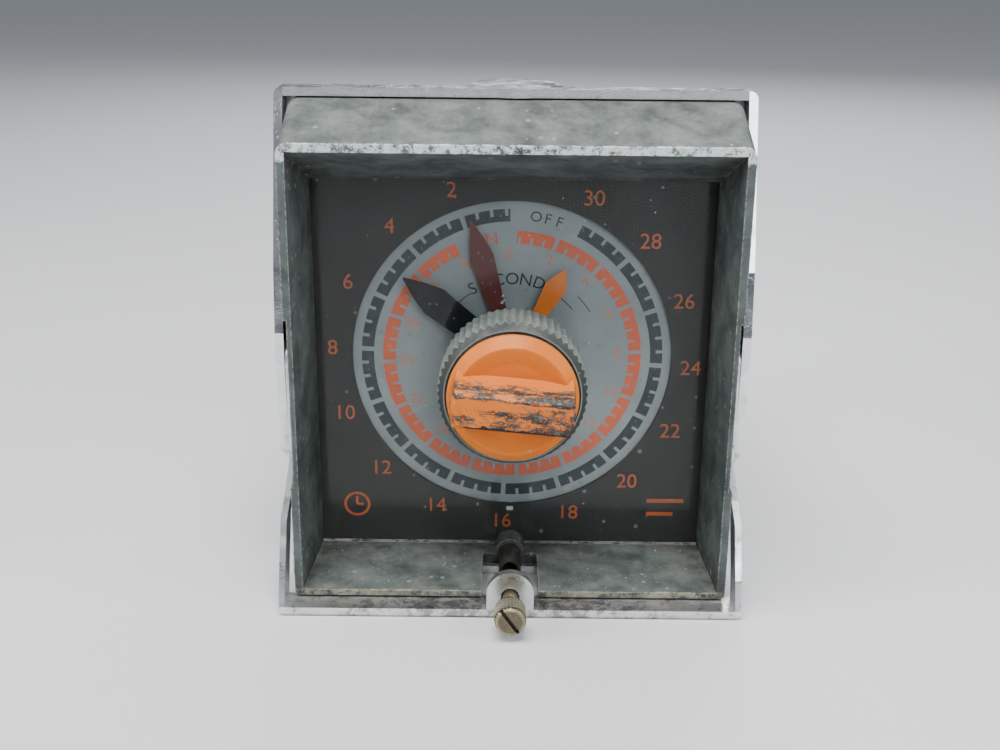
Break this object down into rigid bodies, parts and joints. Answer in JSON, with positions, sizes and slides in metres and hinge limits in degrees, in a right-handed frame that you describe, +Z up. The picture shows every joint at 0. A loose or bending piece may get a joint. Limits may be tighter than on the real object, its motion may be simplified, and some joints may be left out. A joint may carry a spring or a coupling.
{
  "type": "repeat cycle timer",
  "caption": "Plug-in repeat cycle timer: hooded face with two concentric knobs, pointers over printed dials, hinged bail with thumbscrew, and a case with rear terminals.",
  "frame": {"origin": "under the middle of the whole timer, on the surface it stands on", "axes": "+Z up, the face looks along -Y, +X to the viewer's right, +Y back along the case"},
  "size_m": [0.1046, 0.133, 0.1146],
  "materials": {
    "hood_grey": "worn grey-olive baked paint, chipped to bright metal on the front edges",
    "chrome": "bright chromium plate with scratches and grime",
    "bright_steel": "bright turned steel",
    "window_clear": "clear scuffed acrylic",
    "mask_black": "satin charcoal black paint",
    "dial_grey": "satin light grey print",
    "dark_insert": "blackened threaded insert",
    "gasket_rubber": "black neoprene",
    "brass": "tarnished brass",
    "gear_brass": "machined brass",
    "ring_knob_grey": "knurled grey plastic, dirty between the ridges",
    "pointer_black": "black enamel",
    "bar_knob_orange": "orange moulded plastic with black scuffs",
    "pointer_orange": "orange enamel",
    "pointer_maroon": "maroon enamel",
    "zinc_plate": "zinc plated sheet steel",
    "spring_steel": "blued spring steel",
    "gearbox_cast": "die-cast zinc",
    "motor_can": "drawn can, dark enamel",
    "bare_iron": "plated soft iron",
    "coil_tape": "amber tape over copper winding",
    "switch_black": "black moulded phenolic",
    "plunger_red": "red moulded nylon",
    "phenolic_brown": "brown phenolic moulding",
    "phenolic_black": "black phenolic moulding",
    "contact_silver": "silver-plated brass",
    "nickel_screw": "nickel plated steel",
    "case_black": "black wrinkle paint on steel"
  },
  "bodies": {
    "case": {"case_shell": "case_black", "case_flange": "case_black", "guide_rails": "zinc_plate", "socket_block": "phenolic_brown", "socket_contacts": "contact_silver", "terminal_block": "phenolic_black", "terminal_plates": "contact_silver", "terminal_screws": "nickel_screw", "terminal_fixings": "nickel_screw"},
    "module": {"hood_bezel": "hood_grey", "trim_frame": "chrome", "bezel_screws": "bright_steel", "window_pane": "window_clear", "mask_plate": "mask_black", "dial_plate": "dial_grey", "thumbscrew_insert": "dark_insert", "bail_rivets": "bright_steel", "panel_gasket": "gasket_rubber", "front_plate": "zinc_plate", "back_plate": "zinc_plate", "tube_bush": "gear_brass", "face_posts": "zinc_plate", "chassis_posts": "zinc_plate", "post_screws": "bright_steel", "gearbox": "gearbox_cast", "drive_motor": "motor_can", "clutch_yoke": "bare_iron", "clutch_coil": "coil_tape", "armature_pin": "zinc_plate", "armature_spring": "spring_steel", "switch_brackets": "zinc_plate", "right_switch": "switch_black", "left_switch": "switch_black", "plug_block": "phenolic_brown", "plug_blades": "contact_silver", "plug_posts": "zinc_plate", "reset_spring": "spring_steel"},
    "bail": {"bail": "chrome"},
    "screw_clip": {"screw_clip": "bright_steel"},
    "thumbscrew": {"thumbscrew": "brass"},
    "off_setting": {"off_knob": "ring_knob_grey", "off_tube": "ring_knob_grey", "off_pointer": "pointer_black"},
    "on_setting": {"on_knob": "bar_knob_orange", "on_shaft": "bright_steel", "on_pointer": "pointer_orange", "trip_arm": "zinc_plate"},
    "run_hand": {"run_pointer": "pointer_maroon", "run_tube": "brass", "run_wheel": "gear_brass"},
    "motor_pinion": {"drive_pinion": "bright_steel"},
    "armature": {"clutch_armature": "bare_iron"},
    "right_plunger": {"right_plunger": "plunger_red"},
    "left_plunger": {"left_plunger": "plunger_red"}
  },
  "joints": [
    {"name": "module_slide", "type": "slide", "parent": "case", "child": "module", "axis": [0, -1, 0], "range_m": [0, 0.1]},
    {"name": "bail_hinge", "type": "hinge", "parent": "module", "child": "bail", "pos_m": [0, -0.041, 0.0565], "axis": [-1, 0, 0], "range_deg": [0, 105]},
    {"name": "screw_feed", "type": "slide", "parent": "bail", "child": "screw_clip", "axis": [0, 1, 0], "range_m": [0, 0.0044]},
    {"name": "screw_turn", "type": "hinge", "parent": "screw_clip", "child": "thumbscrew", "pos_m": [0, -0.0605, 0.0049], "axis": [0, 1, 0], "range_deg": [0, 2000]},
    {"name": "off_time_knob", "type": "hinge", "parent": "module", "child": "off_setting", "pos_m": [0, -0.0505, 0.0515], "axis": [0, 1, 0], "range_deg": [-282, 54]},
    {"name": "on_time_knob", "type": "hinge", "parent": "module", "child": "on_setting", "pos_m": [0, -0.0505, 0.0515], "axis": [0, 1, 0], "range_deg": [-31, 305]},
    {"name": "run_hand_turn", "type": "hinge", "parent": "module", "child": "run_hand", "pos_m": [0, -0.0245, 0.0515], "axis": [0, 1, 0], "range_deg": [-318, 19]},
    {"name": "motor_pinion_turn", "type": "hinge", "parent": "module", "child": "motor_pinion", "pos_m": [0, -0.0105, 0.07798], "axis": [0, 1, 0], "range_deg": [-86, 1432]},
    {"name": "clutch_armature_rock", "type": "hinge", "parent": "module", "child": "armature", "pos_m": [-0.017, -0.0031, 0.0167], "axis": [-1, 0, 0], "range_deg": [0, 5], "stiffness_Nm_per_rad": 0.05, "springref_deg": -2.86},
    {"name": "right_plunger_press", "type": "slide", "parent": "module", "child": "right_plunger", "axis": [1, 0, 0], "range_m": [0, 0.001], "stiffness_N_per_m": 150, "springref_m": -0.002},
    {"name": "left_plunger_press", "type": "slide", "parent": "module", "child": "left_plunger", "axis": [-1, 0, 0], "range_m": [0, 0.001], "stiffness_N_per_m": 150, "springref_m": -0.002}
  ],
  "couplings": [
    {"joint": "screw_turn", "follows": "screw_feed", "rad_per_m": 7913.3},
    {"joint": "motor_pinion_turn", "follows": "run_hand_turn", "ratio": -4.5}
  ]
}
